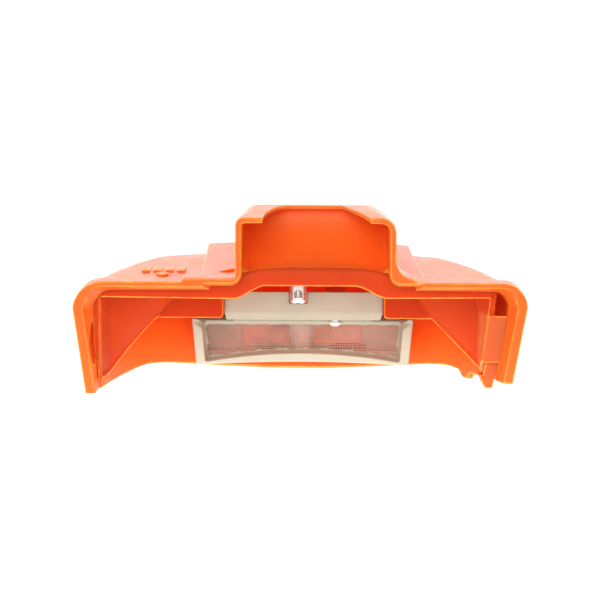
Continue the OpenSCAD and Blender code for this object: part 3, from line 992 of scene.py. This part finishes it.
def orange_plastic(name, deep, level, thin=None):
    """Satin moulded plastic, with faint flow marks, fine grain, and paler edges that are a painted
    highlight, made uneven by a noise.

    thin is a painted glow: a paler colour for the thin panel and plate at the lower right, standing in for
    light that passes through them.
    """
    m = Recipe(name)
    flow = m.noise(26, 4, 0.5, (1.0, 0.35, 1.6))
    body = m.mix(m.ramp(flow, 0, 1), deep, tuple(1.06 * c for c in deep))
    if thin:
        # Painted glow: the panel and plate at the lower right are painted paler, as if light came through
        # them.
        body = m.mix(m.times(m.along("X", 56.6, 57.6, 0, 1), m.along("Z", 24, 24.6, 1, 0)), body, thin)
    # Painted highlight: sharp edges are painted a paler orange, more strongly where the noise is high.
    paler_edges = m.times(m.edges(), m.ramp(m.noise(3.5), 0.35, 0.9))
    pale = (1.0, 0.38, 0.055)
    colour = m.mix(paler_edges, body, pale)
    rough = m.ramp(m.noise(5, 5), 0.4, 0.48)
    m.bump([(m.noise(0.35, 2), 0.004), (m.noise(9, 3), 0.008)])
    m.glow(0.75, (1.0, 0.42, 0.15), 5.0)
    return m.finish(colour, rough, level=level)


def beige_plastic(name, low, high):
    """The cassette's plastic: matt, a little uneven, and dusty in patches."""
    m = Recipe(name)
    clean = m.mix(m.ramp(m.noise(14, 3), 0, 1), low, high)
    dust = m.ramp(m.noise(6, 5, 0.65), 0, 0.35, 0.5, 0.72)
    colour = m.mix(dust, clean, (0.39, 0.39, 0.31))
    m.bump([(m.noise(0.5, 3), 0.012), (m.noise(7, 2), 0.05)])
    return m.finish(colour, m.ramp(m.noise(2, 4), 0.42, 0.6), level=0.4)


def mesh_material():
    """Fine nylon threads, greyer where dust has gathered."""
    m = Recipe("woven_nylon")
    dust = m.ramp(m.noise(9, 4, 0.6), 0, 0.8, 0.46, 0.66)
    colour = m.mix(dust, (0.84, 0.45, 0.35), (0.5, 0.36, 0.27))
    m.bump([(m.noise(0.2, 2), 0.01)])
    return m.finish(colour, m.ramp(m.noise(4), 0.45, 0.6), level=0.4)


def steel(name, colour, rough, scratch):
    """Plated steel with fine turning lines and dull spots."""
    m = Recipe(name)
    dull = m.ramp(m.noise(2.2, 5, 0.6), 0, 0.5, 0.45, 0.7)
    body = m.mix(dull, colour, tuple(0.72 * c for c in colour))
    m.bump([(m.noise(0.16, 2, 0.5, scratch), 0.006)])
    return m.finish(body, m.ramp(m.noise(1.2, 4), rough, rough + 0.14), metal=1.0)


def dark_plastic(name, colour, rough, grain):
    """Black plastic or rubber: fine grain, with edges worn paler."""
    m = Recipe(name)
    paler_edges = m.times(m.edges(), m.ramp(m.noise(1.5), 0.1, 0.6))
    body = m.mix(m.ramp(m.noise(4, 4), 0, 1), colour, tuple(1.3 * c for c in colour))
    m.bump([(m.noise(0.3, 2), grain)])
    worn = m.mix(paler_edges, body, tuple(0.1 + 0.9 * c for c in colour))
    return m.finish(worn, m.ramp(m.noise(3), rough, rough + 0.15))


def nylon():
    m = Recipe("white_nylon")
    colour = m.mix(m.ramp(m.noise(3), 0, 1), (0.84, 0.88, 0.87), (0.76, 0.78, 0.75))
    m.bump([(m.noise(0.4), 0.006)])
    return m.finish(colour, m.ramp(m.noise(1.5), 0.3, 0.42))


# ---------------------------------------------------------------- pieces
def paint(piece, material):
    piece.data.materials.clear()
    piece.data.materials.append(material)


def moulding(name, field, low, high, step, body, node, slot, material, most_faces=None):
    """A piece made from a field, which takes the place of a CAD node."""
    coarse = 1.0
    piece = skin(name, field, low, high, step * coarse, most_faces)
    place(piece, body, node, slot, material)


def place(piece, body, node, slot, material):
    paint(piece, material)
    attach(piece, body)
    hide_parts(node)


def finish_nodes(material, *names):
    """CAD nodes whose shape is right keep it, and take a better material."""
    for name in names:
        for slot in nodes[name].material_slots:
            slot.material = material


make_camera()
make_light()
make_floor()

ORANGE = orange_plastic("orange_moulding", deep=(0.80, 0.142, 0.014), level=0.18)
# The baffle inside the cover takes a darker copy of the cover's orange: a painted shade for where it sits
# inside.
SHADED_ORANGE = orange_plastic("orange_painted_shade", deep=(0.54, 0.055, 0.008), level=0.07, thin=(0.62, 0.135, 0.04))
BEIGE = beige_plastic("beige_moulding", low=(0.46, 0.449, 0.338), high=(0.49, 0.479, 0.368))
PALE = beige_plastic("pale_moulding", low=(0.66, 0.68, 0.63), high=(0.7, 0.72, 0.67))
WOVEN = mesh_material()
ZINC = steel("zinc_plate", (0.8, 0.8, 0.76), rough=0.26, scratch=(1, 1, 14))
SPRING = steel("spring_wire", (0.5, 0.5, 0.52), rough=0.24, scratch=(1, 1, 1))
BLACK = dark_plastic("knob_plastic", (0.012, 0.012, 0.013), rough=0.38, grain=0.012)
BUSH = dark_plastic("bush_resin", (0.03, 0.03, 0.032), rough=0.45, grain=0.008)
RUBBER = dark_plastic("seal_rubber_skin", (0.01, 0.01, 0.01), rough=0.6, grain=0.02)
PALE_RUBBER = dark_plastic("pale_rubber", (0.5, 0.42, 0.33), rough=0.55, grain=0.01)
NYLON = nylon()

moulding("cover_moulding", cover_field, (-73, -1.5, -1.5), (73, 74, 60), 0.4,
         "cover", "cover_shell", "orange_plastic", ORANGE, 190000)
moulding("baffle_moulding", baffle_field, (-67, 6, -0.5), (67, 43.5, 40), 0.36,
         "cover", "inner_baffle", "orange_inner", SHADED_ORANGE, 150000)
moulding("cassette_front", front_frame_field, (-38, 42, 3), (40, 51.5, 29), 0.26,
         "filter", "filter_frame_front", "beige_plastic", BEIGE, 150000)
moulding("cassette_rear", rear_frame_field, (-36, 49.5, 5), (38, 66, 20.5), 0.34,
         "filter", "filter_frame_rear", "beige_plastic", BEIGE, 100000)
moulding("cassette_post", post_field, (-5, 49, 8), (6, 60, 18.5), 0.25,
         "filter", "filter_post", "beige_plastic", PALE)
moulding("cassette_peg", peg_field, (9, 43, 15.5), (14.5, 49, 22), 0.14,
         "filter", "filter_peg", "white_nylon", NYLON)
moulding("outlet_seal", ring_field, (8, 49.5, 4), (24, 65.5, 10.5), 0.22,
         "filter", "filter_outlet_ring", "seal_rubber", RUBBER)
moulding("lock_handle", knob_field, (-10.5, 28, 49.5), (9.5, 48, 56.5), 0.18,
         "lock", "lock_knob", "black_plastic", BLACK)
moulding("lock_pin_body", stud_field, (-4.5, 34, 24), (3.5, 42, 53.5), 0.14,
         "lock", "lock_stud", "zinc_steel", ZINC)
moulding("e_clip", clip_field, (-6.5, 32, 35.5), (5.5, 44, 37), 0.12,
         "lock", "lock_retainer", "spring_steel", SPRING)

front_mesh = weave("woven_front", left=-32.6, right=34.4, low=4.9, high=18.4, t=MESH_T,
                   pitch=0.55, wire=0.19)
place(front_mesh, "filter", "filter_mesh_front", "filter_mesh", WOVEN)
rear_mesh = weave("woven_rear", left=-19.8, right=21.8, low=8.6, high=17.4, t=REAR_MESH_T,
                  pitch=0.55, wire=0.24)
place(rear_mesh, "filter", "filter_mesh_rear", "filter_mesh", WOVEN)

spring = spring_piece(low=43.35, high=49.95, radius=6.2, wire=0.8, turns=3.0)
place(spring, "cover", "lock_spring", "spring_steel", SPRING)
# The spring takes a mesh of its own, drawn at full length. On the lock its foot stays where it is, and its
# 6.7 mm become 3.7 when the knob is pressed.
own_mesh(spring)

finish_nodes(BUSH, "lock_bush")
finish_nodes(RUBBER, "lock_seal")
finish_nodes(PALE_RUBBER, "filter_gasket")
finish_nodes(ZINC, "spring_seat", "lock_washer", "lock_cross_pin")
finish_nodes(BEIGE, "filter_weld_pins")
